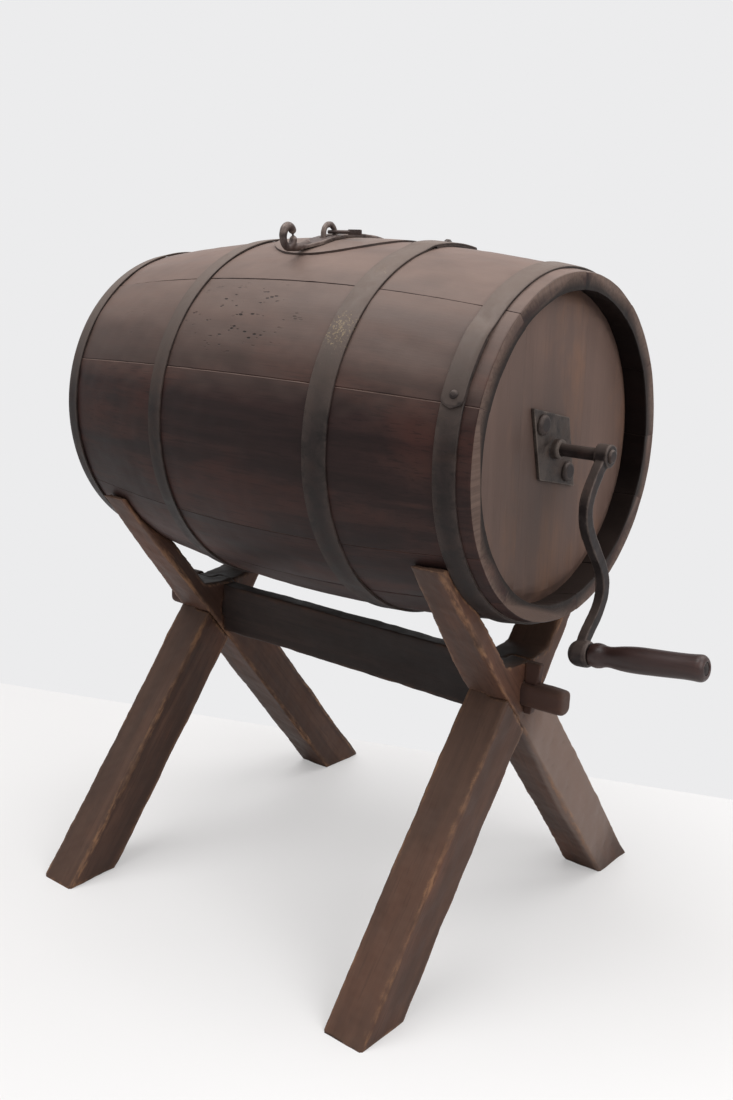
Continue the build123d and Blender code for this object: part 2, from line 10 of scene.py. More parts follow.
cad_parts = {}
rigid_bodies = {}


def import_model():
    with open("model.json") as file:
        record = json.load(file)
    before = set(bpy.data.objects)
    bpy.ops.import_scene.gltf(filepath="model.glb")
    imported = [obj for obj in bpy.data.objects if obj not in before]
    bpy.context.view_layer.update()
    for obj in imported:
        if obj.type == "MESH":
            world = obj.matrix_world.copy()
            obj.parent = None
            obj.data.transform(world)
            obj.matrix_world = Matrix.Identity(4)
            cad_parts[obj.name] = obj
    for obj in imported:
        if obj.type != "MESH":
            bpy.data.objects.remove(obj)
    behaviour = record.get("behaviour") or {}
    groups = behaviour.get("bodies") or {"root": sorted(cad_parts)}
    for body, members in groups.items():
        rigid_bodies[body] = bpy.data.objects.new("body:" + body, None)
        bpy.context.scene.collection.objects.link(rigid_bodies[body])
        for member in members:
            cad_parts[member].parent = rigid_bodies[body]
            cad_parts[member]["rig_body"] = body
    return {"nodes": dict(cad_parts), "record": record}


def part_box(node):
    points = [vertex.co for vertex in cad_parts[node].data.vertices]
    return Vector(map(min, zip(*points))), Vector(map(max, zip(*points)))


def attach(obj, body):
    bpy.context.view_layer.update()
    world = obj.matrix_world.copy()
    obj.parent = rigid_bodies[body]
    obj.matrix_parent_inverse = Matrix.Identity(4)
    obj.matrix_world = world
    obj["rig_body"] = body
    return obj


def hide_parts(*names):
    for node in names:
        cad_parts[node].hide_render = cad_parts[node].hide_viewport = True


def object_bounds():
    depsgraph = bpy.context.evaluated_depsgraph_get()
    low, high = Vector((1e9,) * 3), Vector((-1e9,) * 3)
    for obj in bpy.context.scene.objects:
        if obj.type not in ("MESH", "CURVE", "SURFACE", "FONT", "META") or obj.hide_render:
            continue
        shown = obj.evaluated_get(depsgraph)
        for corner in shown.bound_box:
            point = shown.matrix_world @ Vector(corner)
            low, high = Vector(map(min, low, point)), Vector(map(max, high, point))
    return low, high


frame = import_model()
cad_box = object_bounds()
nodes = frame["nodes"]
MM = 0.001


def middle(node):
    """Middle of a CAD node's box."""
    low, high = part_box(node)
    return (low + high) / 2


# Places that the frame gives
STAND_X = middle("rail").x
AXIS_Z = middle("thrust_washer").z
CROSS_Z = middle("rail").z
BARREL_X = middle("stave_03").x
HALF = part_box("stave_03")[1].x - BARREL_X
LID_MIDDLE = middle("lid").xy

# Sizes that this script shapes pieces by
BELLY_R = 199.6 * MM
END_R = 175 * MM
STAVE_T = 18 * MM
SAG = BELLY_R - END_R
ARC_R = (HALF ** 2 + SAG ** 2) / (2 * SAG)
STAVE_EDGES = [-37.5, 2.5, 37, 64, 91, 115, 148, 170, 220, 242, 289.5, 322.5]
LEG_TILT = radians(38)


# Mesh tools
def outer_r(x):
    """Radius of the staves' outside at x along the row frame."""
    return BELLY_R - ARC_R + np.sqrt(ARC_R ** 2 - (x - BARREL_X) ** 2)


def points_of(mesh):
    at = np.zeros(len(mesh.vertices) * 3)
    mesh.vertices.foreach_get("co", at)
    return at.reshape(-1, 3)


def normals_of(mesh):
    out = np.zeros(len(mesh.vertices) * 3)
    mesh.vertices.foreach_get("normal", out)
    return out.reshape(-1, 3)


def move_points(mesh, at):
    mesh.vertices.foreach_set("co", at.astype(np.float32).ravel())
    mesh.update()


def ripple(at, size, seed, count=14):
    """Smooth noise of about unit strength, with bumps about this size, the same on each run."""
    rng = np.random.default_rng(seed)
    waves = rng.normal(size=(count, 3))
    waves /= np.linalg.norm(waves, axis=1)[:, None]
    waves *= 2 * pi / np.broadcast_to(size, 3) * rng.uniform(0.35, 1.1, (count, 1))
    phase = rng.uniform(0, 2 * pi, count)
    return np.sin(at @ waves.T + phase).sum(1) * (2 / count) ** 0.5


def store(mesh, name, values):
    kind = "FLOAT" if values.ndim == 1 else "FLOAT_VECTOR"
    layer = mesh.attributes.new(name, kind, "POINT")
    field = "value" if values.ndim == 1 else "vector"
    layer.data.foreach_set(field, values.astype(np.float32).ravel())


def neighbour_mean(values, pairs, count):
    total = np.zeros_like(values)
    np.add.at(total, pairs[:, 0], values[pairs[:, 1]])
    np.add.at(total, pairs[:, 1], values[pairs[:, 0]])
    return total / count


def marks_at(at, spots):
    """How strongly each point lies in soft oval spots; a spot is (place, reach, strength)."""
    found = np.zeros(len(at))
    for place, reach, strength in spots:
        off = (at - np.array(place)) / np.array(reach)
        found = np.maximum(found, strength * np.exp(-(off ** 2).sum(1)))
    return found


def bend_of(mesh):
    """How far each point of an evenly divided mesh stands out of its surroundings."""
    pairs = np.zeros(len(mesh.edges) * 2, np.int64)
    mesh.edges.foreach_get("vertices", pairs)
    pairs = pairs.reshape(-1, 2)
    at = points_of(mesh)
    count = np.bincount(pairs.ravel(), minlength=len(at)).clip(1)
    length = np.linalg.norm(at[pairs[:, 0]] - at[pairs[:, 1]], axis=1).mean()
    bend = ((at - neighbour_mean(at, pairs, count[:, None])) * normals_of(mesh)).sum(1) / length
    return neighbour_mean(bend, pairs, count)


def new_object(name, mesh):
    made = bpy.data.objects.new(name, mesh)
    bpy.context.scene.collection.objects.link(made)
    return made


def apply_modifiers(made):
    graph = bpy.context.evaluated_depsgraph_get()
    mesh = bpy.data.meshes.new_from_object(made.evaluated_get(graph))
    made.modifiers.clear()
    made.data = mesh
    return made


def smooth_shade(made, angle=35):
    made.data.shade_smooth()
    made.data.set_sharp_from_angle(angle=radians(angle))


def copy_of(node, name):
    """A copy of a CAD node's mesh with its doubled points joined and its flat faces whole."""
    mesh = nodes[node].data.copy()
    work = bmesh.new()
    work.from_mesh(mesh)
    bmesh.ops.remove_doubles(work, verts=work.verts, dist=2e-6)
    bmesh.ops.dissolve_limit(
        work, angle_limit=radians(0.5), verts=work.verts, edges=work.edges, delimit={"NORMAL"}
    )
    for edge in work.edges:
        edge.smooth = True
    work.to_mesh(mesh)
    work.free()
    for layer in ("sharp_edge", "sharp_face", "custom_normal"):
        if layer in mesh.attributes:
            mesh.attributes.remove(mesh.attributes[layer])
    return new_object(name, mesh)


def remeshed(made, voxel, smooth):
    """The same solid in even small faces, with its corners eased."""
    remesh = made.modifiers.new("remesh", "REMESH")
    remesh.mode = "VOXEL"
    remesh.voxel_size = voxel
    ease = made.modifiers.new("ease", "SMOOTH")
    ease.factor = 0.5
    ease.iterations = smooth
    return apply_modifiers(made)


def bevelled(made, width, angle=25):
    bevel = made.modifiers.new("bevel", "BEVEL")
    bevel.width = width
    bevel.segments = 2
    bevel.limit_method = "ANGLE"
    bevel.angle_limit = radians(angle)
    bevel.harden_normals = False
    return apply_modifiers(made)


def roughen(made, seed, *layers):
    """Moves each point along its normal by noise; a layer is (size, height)."""
    at = points_of(made.data)
    lift = sum(ripple(at, size, seed + n) * height for n, (size, height) in enumerate(layers))
    move_points(made.data, at + normals_of(made.data) * lift[:, None])


def finish_piece(made, node, material, grain, seed, even=True, spots=(), darkening=0.0):
    """Stores what the materials read, and puts the piece in its CAD node's place."""
    mesh = made.data
    at = points_of(mesh).clip(*np.array(cad_box))
    move_points(mesh, at)
    bend = bend_of(mesh) * 9 if even else np.zeros(len(at))
    store(mesh, "wear", bend.clip(0, 1))
    # Hollows and the given darkening are painted dark: painted shade, with some real grime.
    store(mesh, "shade_and_grime", np.maximum(-bend, darkening).clip(0, 1))
    store(mesh, "mark", marks_at(at, spots))
    rng = np.random.default_rng(seed)
    store(mesh, "grain", grain(at) + rng.uniform(-3, 3, 3))
    normals = normals_of(mesh)
    store(mesh, "up", normals[:, 2])
    store(mesh, "end", np.abs(grain(at + normals) - grain(at))[:, 0])
    store(mesh, "tone", np.full(len(at), rng.uniform(0, 1)))
    mesh.materials.clear()
    mesh.materials.append(material)
    body = nodes[node]["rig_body"]
    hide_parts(node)
    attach(made, body)
    return made


# Which way the grain runs: each gives (along, across, depth) in metres
def grain_x(at):
    return at.copy()


def grain_z(at):
    return at[:, [2, 1, 0]]


def grain_barrel(at):
    angle = np.arctan2(at[:, 1], at[:, 2] - AXIS_Z)
    radius = np.hypot(at[:, 1], at[:, 2] - AXIS_Z)
    return np.stack([at[:, 0], angle * BELLY_R, radius], 1)


def grain_leg(side):
    """Along a leg whose foot is at the near side (-1) or the back (1)."""

    def turned(at):
        along = -side * sin(LEG_TILT) * at[:, 1] + cos(LEG_TILT) * at[:, 2]
        across = cos(LEG_TILT) * at[:, 1] + side * sin(LEG_TILT) * at[:, 2]
        return np.stack([along, across, at[:, 0]], 1)

    return turned


def grain_spoke(angle):
    def turned(at):
        y = at[:, 1]
        z = at[:, 2] - AXIS_Z
        along = y * sin(angle) + z * cos(angle)
        across = y * cos(angle) - z * sin(angle)
        return np.stack([along, across, at[:, 0]], 1)

    return turned


# Materials
def linear(colour):
    """An sRGB colour of 0 to 255 as Blender's linear colour."""
    parts = [c / 255 for c in colour]
    return [c / 12.92 if c <= 0.04045 else ((c + 0.055) / 1.055) ** 2.4 for c in parts] + [1]


class Graph:
    """A material's nodes; each method adds one node and returns its main output."""

    def __init__(self, name):
        self.material = bpy.data.materials.new(name)
        self.material.use_nodes = True
        self.nodes = self.material.node_tree.nodes
        self.links = self.material.node_tree.links
        self.shader = self.nodes["Principled BSDF"]

    def set(self, socket, value):
        if isinstance(value, bpy.types.NodeSocket):
            self.links.new(value, socket)
        else:
            socket.default_value = value

    def attribute(self, name):
        node = self.nodes.new("ShaderNodeAttribute")
        node.attribute_name = name
        return node.outputs["Fac"]

    def grain(self, scale):
        node = self.nodes.new("ShaderNodeAttribute")
        node.attribute_name = "grain"
        mapping = self.nodes.new("ShaderNodeMapping")
        mapping.inputs["Scale"].default_value = scale
        self.links.new(node.outputs["Vector"], mapping.inputs["Vector"])
        return mapping.outputs[0]

    def noise(self, scale, detail=4, rough=0.55, distort=0.0):
        node = self.nodes.new("ShaderNodeTexNoise")
        self.links.new(self.grain(scale), node.inputs["Vector"])
        node.inputs["Scale"].default_value = 1
        node.inputs["Detail"].default_value = detail
        node.inputs["Roughness"].default_value = rough
        node.inputs["Distortion"].default_value = distort
        return node.outputs["Fac"]

    def cells(self, scale):
        node = self.nodes.new("ShaderNodeTexVoronoi")
        self.links.new(self.grain(scale), node.inputs["Vector"])
        node.inputs["Scale"].default_value = 1
        return node.outputs["Distance"]

    def math(self, operation, a, b=0.0):
        node = self.nodes.new("ShaderNodeMath")
        node.operation = operation
        self.set(node.inputs[0], a)
        self.set(node.inputs[1], b)
        return node.outputs[0]

    def fit(self, value, low, high, to_low=0.0, to_high=1.0):
        """Value between low and high, stretched to to_low and to_high and held there beyond."""
        node = self.nodes.new("ShaderNodeMapRange")
        for socket, given in zip(node.inputs, (value, low, high, to_low, to_high)):
            self.set(socket, given)
        return node.outputs[0]

    def mix(self, amount, a, b):
        node = self.nodes.new("ShaderNodeMix")
        node.data_type = "RGBA"
        self.set(node.inputs[0], amount)
        self.set(node.inputs[6], a)
        self.set(node.inputs[7], b)
        return node.outputs[2]

    def bump(self, height, distance):
        node = self.nodes.new("ShaderNodeBump")
        node.inputs["Strength"].default_value = 1
        node.inputs["Distance"].default_value = distance
        self.set(node.inputs["Height"], height)
        return node.outputs[0]

    def finish(self, colour, rough, bump, gloss):
        self.set(self.shader.inputs["Base Color"], colour)
        self.set(self.shader.inputs["Specular IOR Level"], gloss)
        self.set(self.shader.inputs["Roughness"], rough)
        self.set(self.shader.inputs["Normal"], bump)
        return self.material


def wood(name, dark, base, light, worn, end=None, rough=0.5, wear=0.6, dust_and_sheen=None, dust_and_sheen_share=0.0, red=None,
         spot=None, contrast=1.0, relief=0.3, gloss=0.2, ticks=False):
    """Old stained wood: streaks along the grain, pores, stains, worn edges, tops lighter from dust and
    painted sheen, and painted shade in the corners.
    """
    g = Graph(name)
    streak = g.noise((2.4, 42, 42), 6, 0.62, 0.5)
    pores = g.noise((14, 520, 520), 3, 0.6)
    stain = g.noise((5, 11, 11), 4, 0.6, 0.3)
    patch = g.noise((14, 26, 26), 4, 0.6)
    fine = g.noise((60, 260, 260), 4, 0.65)
    streaked = g.fit(streak, 0.34, 0.58, 0.5 - 0.5 * contrast, 0.5 + 0.5 * contrast)
    colour = g.mix(streaked, linear(dark), linear(base))
    lighter = g.fit(g.math("MULTIPLY", streak, stain), 0.24, 0.42, 0, contrast)
    colour = g.mix(lighter, colour, linear(light))
    if red:
        colour = g.mix(g.fit(stain, 0.5, 0.68, 0, 0.75), colour, linear(red))
    colour = g.mix(g.fit(patch, 0.5, 0.3, 0, 0.5), colour, linear(dark))
    colour = g.mix(g.fit(pores, 0.44, 0.34, 0, 0.6), colour, linear(dark))
    colour = g.mix(g.math("MULTIPLY", g.attribute("tone"), 0.2), colour, linear(light))
    # The spot colour where marks lie: real marks and colours such as the tenons' ends, and on the back
    # crank leg a painted patch of light.
    if spot:
        colour = g.mix(g.fit(g.attribute("mark"), 0.2, 0.5, 0, 0.8), colour, linear(spot))
    if end:
        rings = g.fit(fine, 0.35, 0.6, 0.5, 0.95)
        cut_across = g.fit(g.attribute("end"), 0.75, 0.92)
        colour = g.mix(g.math("MULTIPLY", cut_across, rings), colour, linear(end))
    # Upward faces turn lighter: partly dust, partly a painted sheen for the light from above.
    if dust_and_sheen:
        lit_dusty_top = g.fit(g.attribute("up"), 0.2, 0.9)
        amount = g.math("MULTIPLY", lit_dusty_top, g.fit(patch, 0.25, 0.7, 0.7 * dust_and_sheen_share, dust_and_sheen_share))
        colour = g.mix(amount, colour, linear(dust_and_sheen))
    edge = g.fit(g.attribute("wear"), 0.15, 0.75)
    rubbed = g.math("MULTIPLY", edge, g.fit(fine, 0.4, 0.6))
    rubbed = g.math("MULTIPLY", rubbed, g.fit(patch, 0.38, 0.6, 0.15, 1))
    colour = g.mix(g.math("MULTIPLY", rubbed, wear), colour, linear(worn))
    # Painted shade and grime: hollows and the given darkening turn near black.
    black = [c * 0.3 for c in dark]
    colour = g.mix(g.fit(g.attribute("shade_and_grime"), 0.1, 0.8, 0, 0.85), colour, linear(black))
    height = g.math("ADD", g.math("MULTIPLY", streak, 0.7), g.math("MULTIPLY", pores, 0.5))
    if ticks:
        cut = g.fit(g.cells((95, 260, 0)), 0.3, 0.2)
        cut = g.math("MULTIPLY", cut, g.fit(g.noise((40, 90, 0), 2), 0.5, 0.58))
        cut = g.math("MULTIPLY", cut, g.fit(g.attribute("mark"), 0.2, 0.6))
        colour = g.mix(g.math("MULTIPLY", cut, 0.85), colour, linear(black))
        height = g.math("SUBTRACT", height, g.math("MULTIPLY", cut, 2.5))
    shine = g.fit(g.math("ADD", streak, patch), 0.7, 1.3, rough - 0.06, rough + 0.12)
    return g.finish(colour, shine, g.bump(height, relief * MM), gloss)


def iron(name, dark, base, light, rust, rough=0.5, wear=0.5, metal=0.3, dust_and_sheen=None, relief=0.35,
         specks=None):
    """Old forged iron: mottled, a little rust in patches, polished along its edges."""
    g = Graph(name)
    mottle = g.noise((60, 60, 60), 6, 0.65, 0.4)
    pit = g.noise((480, 480, 480), 3, 0.6)
    patch = g.noise((22, 22, 22), 5, 0.65, 0.5)
    colour = g.mix(g.fit(mottle, 0.35, 0.62), linear(dark), linear(base))
    colour = g.mix(g.fit(patch, 0.52, 0.7, 0, 0.6), colour, linear(rust))
    colour = g.mix(g.fit(pit, 0.42, 0.3, 0, 0.6), colour, linear(dark))
    # Upward faces turn lighter: partly dust, partly a painted sheen for the light from above.
    if dust_and_sheen:
        colour = g.mix(g.fit(g.attribute("up"), 0.1, 1, 0, 0.8), colour, linear(dust_and_sheen))
    if specks:
        more = g.math("MULTIPLY", g.attribute("mark"), 0.24)
        flakes = g.math("ADD", g.noise((420, 420, 90), 5, 0.75), more)
        colour = g.mix(g.fit(flakes, 0.74, 0.84, 0, 0.75), colour, linear(specks))
    rubbed = g.math("MULTIPLY", g.fit(g.attribute("wear"), 0.15, 0.8), g.fit(mottle, 0.3, 0.6))
    colour = g.mix(g.math("MULTIPLY", rubbed, wear), colour, linear(light))
    # Painted shade and grime: hollows and the given darkening turn near black.
    black = [c * 0.4 for c in dark]
    colour = g.mix(g.fit(g.attribute("shade_and_grime"), 0.15, 0.9, 0, 0.7), colour, linear(black))
    g.shader.inputs["Metallic"].default_value = metal
    height = g.math("ADD", g.math("MULTIPLY", mottle, 0.8), g.math("MULTIPLY", pit, 0.35))
    shine = g.fit(mottle, 0.3, 0.7, rough - 0.1, rough + 0.15)
    return g.finish(colour, shine, g.bump(height, relief * MM), 0.2)


BARREL_WOOD = wood(
    "barrel_wood", (26, 19, 19), (43, 30, 29), (62, 43, 38), (92, 70, 60), end=(92, 76, 68),
    rough=0.48, wear=0.2, dust_and_sheen=(122, 104, 96), dust_and_sheen_share=0.85, red=(56, 32, 28), contrast=0.9, relief=0.2,
    gloss=0.12, ticks=True,
)
LID_WOOD = wood(
    "lid_wood", (34, 26, 24), (56, 42, 38), (78, 60, 53), (98, 78, 68),
    rough=0.5, wear=0.2, dust_and_sheen=(120, 103, 95), dust_and_sheen_share=0.85, contrast=0.8, relief=0.2,
)
HEAD_WOOD = wood(
    "head_wood", (76, 60, 54), (92, 74, 67), (104, 84, 75), (106, 86, 75),
    rough=0.5, wear=0.05, red=(108, 78, 60), contrast=0.5, relief=0.08,
)
# Its spot colour also paints light onto the back crank leg's +X face.
LEG_WOOD = wood(
    "leg_wood", (44, 29, 23), (68, 47, 38), (88, 65, 54), (146, 108, 78), end=(96, 72, 58),
    rough=0.55, wear=0.5, dust_and_sheen=(96, 77, 66), dust_and_sheen_share=0.4, red=(82, 50, 36), spot=(112, 95, 87), contrast=0.8,
    relief=0.3,
)
RAIL_WOOD = wood(
    "rail_wood", (20, 15, 14), (38, 29, 27), (54, 42, 38), (96, 66, 48), end=(66, 50, 43),
    rough=0.6, wear=0.35, dust_and_sheen=(60, 51, 47), dust_and_sheen_share=0.4, spot=(66, 45, 38), contrast=0.7, relief=0.3,
)
DASHER_WOOD = wood(
    "dasher_wood", (112, 90, 66), (158, 132, 100), (184, 160, 126), (196, 172, 138), rough=0.7, wear=0.3
)
GRIP_WOOD = wood(
    "grip_wood", (30, 17, 15), (52, 33, 30), (70, 47, 41), (92, 69, 60), rough=0.4, wear=0.3, relief=0.1,
    gloss=0.35,
)
HOOP_IRON = iron(
    "hoop_iron", (25, 20, 19), (40, 32, 31), (90, 78, 72), (50, 36, 31), rough=0.55, wear=0.25,
    dust_and_sheen=(112, 98, 90), specks=(136, 120, 94), relief=0.2, metal=0.15,
)
HASP_IRON = iron(
    "hasp_iron", (50, 41, 40), (80, 68, 65), (140, 126, 118), (84, 64, 54), rough=0.45,
    dust_and_sheen=(88, 77, 74),
)
PLATE_IRON = iron(
    "plate_iron", (34, 28, 26), (68, 60, 56), (112, 102, 95), (66, 48, 40), rough=0.5, metal=0.25
)
CRANK_IRON = iron(
    "crank_iron", (26, 21, 21), (43, 36, 35), (96, 84, 78), (62, 43, 37), rough=0.48, dust_and_sheen=(84, 73, 68)
)
SLOTS = {
    "stave_wood": BARREL_WOOD,
    "lid_wood": LID_WOOD,
    "head_wood": HEAD_WOOD,
    "leg_wood": LEG_WOOD,
    "rail_wood": RAIL_WOOD,
    "dasher_wood": DASHER_WOOD,
    "grip_wood": GRIP_WOOD,
    "hoop_iron": HOOP_IRON,
    "hasp_iron": HASP_IRON,
    "plate_iron": PLATE_IRON,
    "crank_iron": CRANK_IRON,
}


def mesh_from_rings(name, rings, closed=False):
    """A closed mesh through rings of points; the ends are capped unless the rings close on themselves."""
    rings = np.asarray(rings)
    count, around = rings.shape[:2]
    faces = []
    for i in range(count if closed else count - 1):
        a = i * around
        b = (i + 1) % count * around
        for j in range(around):
            k = (j + 1) % around
            faces.append((a + j, a + k, b + k, b + j))
    if not closed:
        faces.append(tuple(range(around))[::-1])
        faces.append(tuple(range((count - 1) * around, count * around)))
    mesh = bpy.data.meshes.new(name)
    mesh.from_pydata(rings.reshape(-1, 3).tolist(), [], faces)
    work = bmesh.new()
    work.from_mesh(mesh)
    bmesh.ops.recalc_face_normals(work, faces=work.faces)
    work.to_mesh(mesh)
    work.free()
    return mesh


# Staves: long boards of the barrel's wall with eased edges, each a little uneven
def stave_ring(x, start, end, low, high, ease):
    """One cross-section of a stave, its corners eased, from radius low to radius high."""
    step = 5 * MM / BELLY_R
    turn = ease / BELLY_R
    over = np.linspace(start + 2 * turn, end - 2 * turn, max(4, int((end - start) / step)))
    over = [start + turn, *over, end - turn]
    loop = [(start, high - ease), *((a, high) for a in over), (end, high - ease)]
    loop += [(end, (low + high) / 2), (end, low + ease)]
    loop += [(a, low) for a in reversed(over)]
    loop += [(start, low + ease), (start, (low + high) / 2)]
    return [(x, r * sin(a), AXIS_Z + r * cos(a)) for a, r in loop]


def on_barrel(x, angle):
    """The place on the staves at x from the stand's middle and this angle from the top."""
    r = outer_r(STAND_X + x * MM)
    return (STAND_X + x * MM, r * sin(radians(angle)), AXIS_Z + r * cos(radians(angle)))


ADZE_MARKS = (
    (on_barrel(-20, -52), (0.085, 0.045, 0.04), 1.0),
    (on_barrel(-190, -56), (0.03, 0.02, 0.02), 0.5),
)
FLAKES = (
    (on_barrel(122, -54), (0.03, 0.03, 0.036), 1.0),
    (on_barrel(122, -30), (0.03, 0.02, 0.02), 0.7),
    (on_barrel(150, -80), (0.02, 0.03, 0.03), 0.6),
)


def stations():
    """Places along the barrel for a stave's cross-sections, closer together near its ends."""
    middle_part = np.linspace(-HALF + 14 * MM, HALF - 14 * MM, 96)
    end_part = np.linspace(0.8 * MM, 12.5 * MM, 9)
    return [-HALF, *(end_part - HALF), *middle_part, *(HALF - end_part[::-1]), HALF]


def lid_cutter():
    """The solid that cuts the lid's hole: the lid's hull, a little wider and run on up and down."""
    work = bmesh.new()
    for vertex in nodes["lid"].data.vertices:
        place = vertex.co.copy()
        flat = place.xy - LID_MIDDLE
        if flat.length > 0.01:
            place.xy = LID_MIDDLE + flat * (1 + 0.5 * MM / flat.length)
        on_top = np.hypot(place.y, place.z - AXIS_Z) > BELLY_R - STAVE_T / 2
        place.z = AXIS_Z + (place.z - AXIS_Z) * (1.2 if on_top else 0.8)
        work.verts.new(place)
    hull = bmesh.ops.convex_hull(work, input=work.verts)
    spare = [part for part in hull["geom_interior"] if isinstance(part, bmesh.types.BMVert)]
    bmesh.ops.delete(work, geom=spare, context="VERTS")
    mesh = bpy.data.meshes.new("cutter")
    work.to_mesh(mesh)
    work.free()
    return new_object("cutter", mesh)


def stave(number):
    name = f"stave_{number + 1:02d}"
    start = radians(STAVE_EDGES[number])
    end = radians(STAVE_EDGES[number + 1])
    ease = 0.6 * MM
    rings = []
    for x in stations():
        inset = ease if abs(x) > HALF - ease / 2 else 0
        high = outer_r(BARREL_X + x) - inset
        low = outer_r(BARREL_X + x) - STAVE_T + inset
        rings.append(stave_ring(BARREL_X + x, start, end, low, high, ease))
    made = new_object(f"look_{name}", mesh_from_rings(name, rings))
    at = points_of(made.data)
    side = np.stack([at[:, 0] * 0.2, at[:, 1], at[:, 2]], 1)
    wave = ripple(side, 0.05, 10 + number) * 0.22 * MM + ripple(at, 0.016, 40 + number) * 0.1 * MM
    out = at - np.array([0, 0, AXIS_Z])
    out[:, 0] = 0
    out /= np.linalg.norm(out, axis=1)[:, None]
    move_points(made.data, at + out * (wave[:, None] - 0.3 * MM))
    if number < 2:
        cutter = lid_cutter()
        cut = made.modifiers.new("cut", "BOOLEAN")
        cut.operation = "DIFFERENCE"
        cut.solver = "EXACT"
        cut.object = cutter
        apply_modifiers(made)
        bpy.data.objects.remove(cutter)
    smooth_shade(made, 40)
    # Each stave turns darker towards its inside face.
    at = points_of(made.data)
    depth = outer_r(at[:, 0]) - np.hypot(at[:, 1], at[:, 2] - AXIS_Z)
    darkening = ((depth - 0.8 * STAVE_T) / (0.12 * STAVE_T)).clip(0, 1)
    finish_piece(made, name, BARREL_WOOD, grain_barrel, 100 + number, True, ADZE_MARKS, darkening)


for number in range(len(STAVE_EDGES) - 1):
    stave(number)


# Hoops: each is one strip wound round once and lapped over its own start
HOOP_T = 2.1 * MM
LAP = radians(23)
HOOPS = {
    "hoop_far_end": (-285, -267, 150, 1),
    "hoop_far_quarter": (-119, -99, 120, 1),
    "hoop_crank_quarter": (108, 137, -8, 1),
    "hoop_crank_end": (254.5, 277.5, -72, -1),
}


def hoop(name, low_x, high_x, lap, way, seed):
    """Its strip runs on round to the free end of the lap, which is the last thing that way."""
    span = 2 * pi + LAP
    turns = np.linspace(0, span, 330)
    start = radians(lap) if way > 0 else radians(lap) + LAP
    rng = np.random.default_rng(seed)
    drift = rng.uniform(0, 6, 3)
    half = (high_x - low_x) / 2 * MM
    rings = []
    for turn in turns:
        angle = start + way * turn
        rise = np.clip((turn - 2 * pi + radians(7)) / radians(7), 0, 1)
        rise = rise * rise * (3 - 2 * rise)
        left = (span - turn) * BELLY_R
        end_round = 9 * MM
        narrow = np.sqrt(max(0.02, 1 - (1 - left / end_round) ** 2)) if left < end_round else 1
        wander = np.sin(turn * 3 + drift[0]) * 0.25 + np.sin(turn * 11 + drift[1]) * 0.12
        swell = (np.sin(turn * 7 + drift[2]) + np.sin(turn * 17)) * 0.07 * MM
        mid = STAND_X + (low_x + high_x) / 2 * MM + wander * MM
        low = outer_r(mid - half) - outer_r(mid)
        high = outer_r(mid + half) - outer_r(mid)
        base = outer_r(mid) + 0.1 * MM + rise * (HOOP_T - 0.05 * MM)
        width = half * narrow
        ease = 0.55 * MM
        loop = [
            (-width, 0), (-width, HOOP_T - ease), (-width + ease, HOOP_T), (-width / 2, HOOP_T + swell),
            (0, HOOP_T + swell), (width / 2, HOOP_T + swell), (width - ease, HOOP_T),
            (width, HOOP_T - ease), (width, 0), (0, 0),
        ]
        ring = []
        for across, lift in loop:
            slope = low if across < 0 else high
            r = base + lift + slope * abs(across) / half
            ring.append((mid + across, r * np.sin(angle), AXIS_Z + r * np.cos(angle)))
        rings.append(ring)
    made = new_object(f"look_{name}", mesh_from_rings(name, rings))
    smooth_shade(made, 40)
    finish_piece(made, name, HOOP_IRON, grain_barrel, seed, True, FLAKES)


for seed, (name, shape) in enumerate(HOOPS.items()):
    hoop(name, *shape, 60 + seed)


# Every other piece starts from its CAD solid
def grain_for(name):
    if name.startswith("leg_"):
        return grain_leg(-1 if name.endswith("near") else 1)
    if name.startswith("head_"):
        return grain_z
    if name.startswith("dasher_arm"):
        return grain_spoke(radians(45 if name.endswith("rising") else 135))
    if name.startswith(("wedge", "far_bearing")):
        return grain_z
    return grain_x


def timber(name, voxel, smooth, *layers):
    """A piece of rough wood: eased corners and an uneven surface."""
    made = remeshed(copy_of(name, f"look_{name}"), voxel, smooth)
    roughen(made, 7 + len(name) * 3 + ord(name[-1]), *layers)
    smooth_shade(made, 60)
    return made


def plain(name):
    made = bevelled(copy_of(name, f"look_{name}"), 0.5 * MM)
    smooth_shade(made)
    return made


def head_board(name, step):
    """A flat board whose faces are cut in small squares, so that they can carry a stain."""
    made = copy_of(name, f"look_{name}")
    work = bmesh.new()
    work.from_mesh(made.data)
    low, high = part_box(name)
    for axis in (1, 2):
        for place in np.arange(low[axis] + step / 2, high[axis], step):
            cut = Vector((0, 0, 0))
            cut[axis] = place
            across = Vector((0, 0, 0))
            across[axis] = 1
            parts = work.verts[:] + work.edges[:] + work.faces[:]
            bmesh.ops.bisect_plane(work, geom=parts, plane_co=cut, plane_no=across)
    work.to_mesh(made.data)
    work.free()
    smooth_shade(made)
    return made


ROUGH_WOOD = ((0.09, 0.5 * MM), (0.025, 0.22 * MM), (0.009, 0.08 * MM))
ROUGH_IRON = ((0.02, 0.16 * MM), (0.006, 0.06 * MM))
LEG_X = middle("leg_crank_near").x - STAND_X
RAIL_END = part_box("rail")[1].x - STAND_X
# Painted shade: the upward faces between the crossed legs, under the barrel, are darkened.
SHADED_CROTCHES = [((STAND_X + side * LEG_X, 0, CROSS_Z + 0.06), (0.06, 0.045, 0.06), 1.0) for side in (-1, 1)]
TENONS = [((STAND_X + side * RAIL_END, 0, CROSS_Z), (0.05, 0.05, 0.05), 1.0) for side in (-1, 1)]
HUB_STAIN = [(middle("head_crank_middle") + Vector((0, -0.03, -0.03)), (0.05, 0.1, 0.13), 0.5)]
